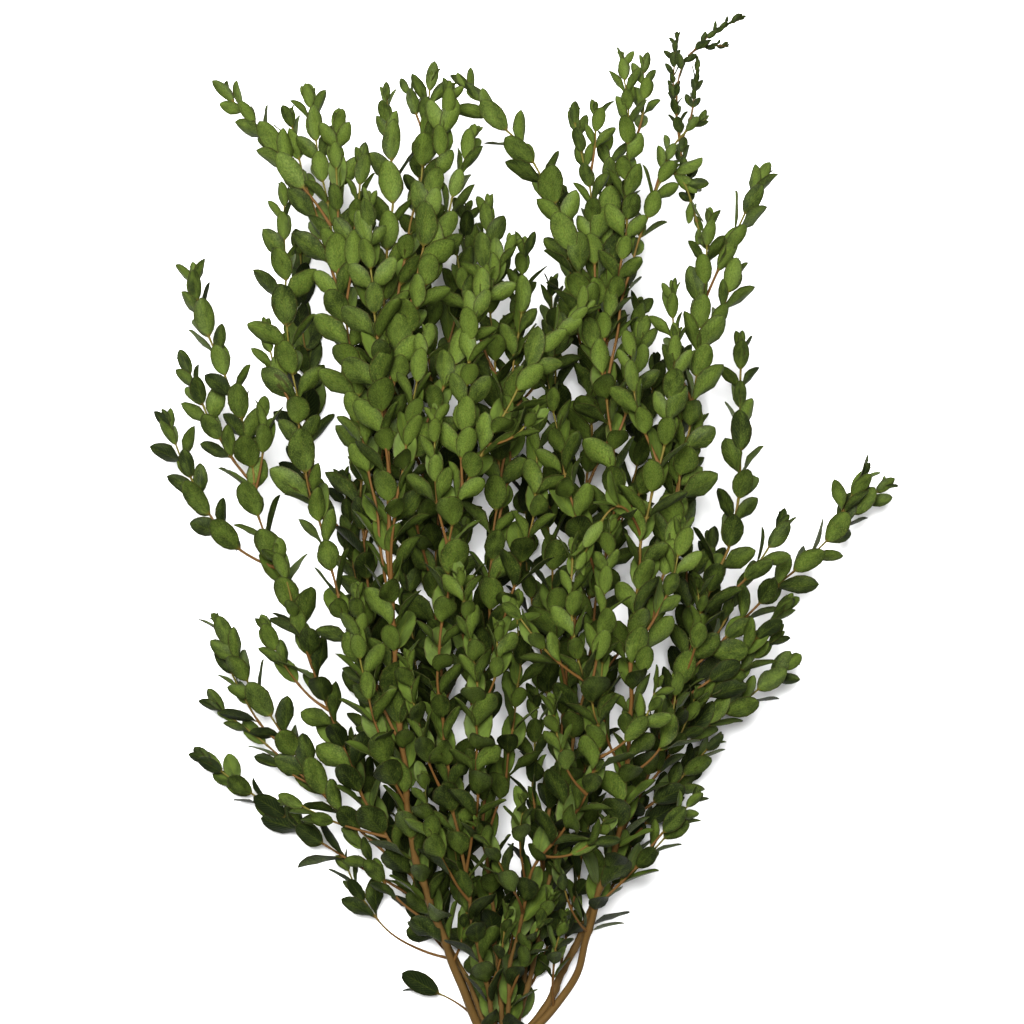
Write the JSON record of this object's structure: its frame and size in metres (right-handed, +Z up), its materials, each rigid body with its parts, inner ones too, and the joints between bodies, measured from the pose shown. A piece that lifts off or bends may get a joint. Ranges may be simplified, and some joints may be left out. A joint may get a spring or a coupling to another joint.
{
  "type": "preserved parvifolia eucalyptus bunch",
  "caption": "A tied bunch of forked woody stems with pairs of small oval leaves along thin shoots, lying flat and fanning out to its tips.",
  "frame": {"origin": "middle of the bunch's outline, on the surface that it lies on", "axes": "+Y along the bunch from its cut ends to its tips, +X to the right seen from above, +Z up"},
  "size_m": [0.4538, 0.6776, 0.1656],
  "materials": {
    "foliage": "matt leaves with a faint waxy sheen, green twigs turning to orange-brown bark",
    "band": "matt elastic band"
  },
  "bodies": {
    "root": {"leafy_stem_left_front": "foliage", "leafy_stem_centre_left_front": "foliage", "leafy_stem_centre_front": "foliage", "leafy_stem_right_front": "foliage", "leafy_stem_left_middle": "foliage", "leafy_stem_centre_left_middle": "foliage", "leafy_stem_centre_middle": "foliage", "leafy_stem_left_back": "foliage", "leafy_stem_centre_left_back": "foliage", "leafy_stem_centre_right_back": "foliage", "leafy_stem_right_back": "foliage", "tie_band": "band"}
  },
  "joints": []
}
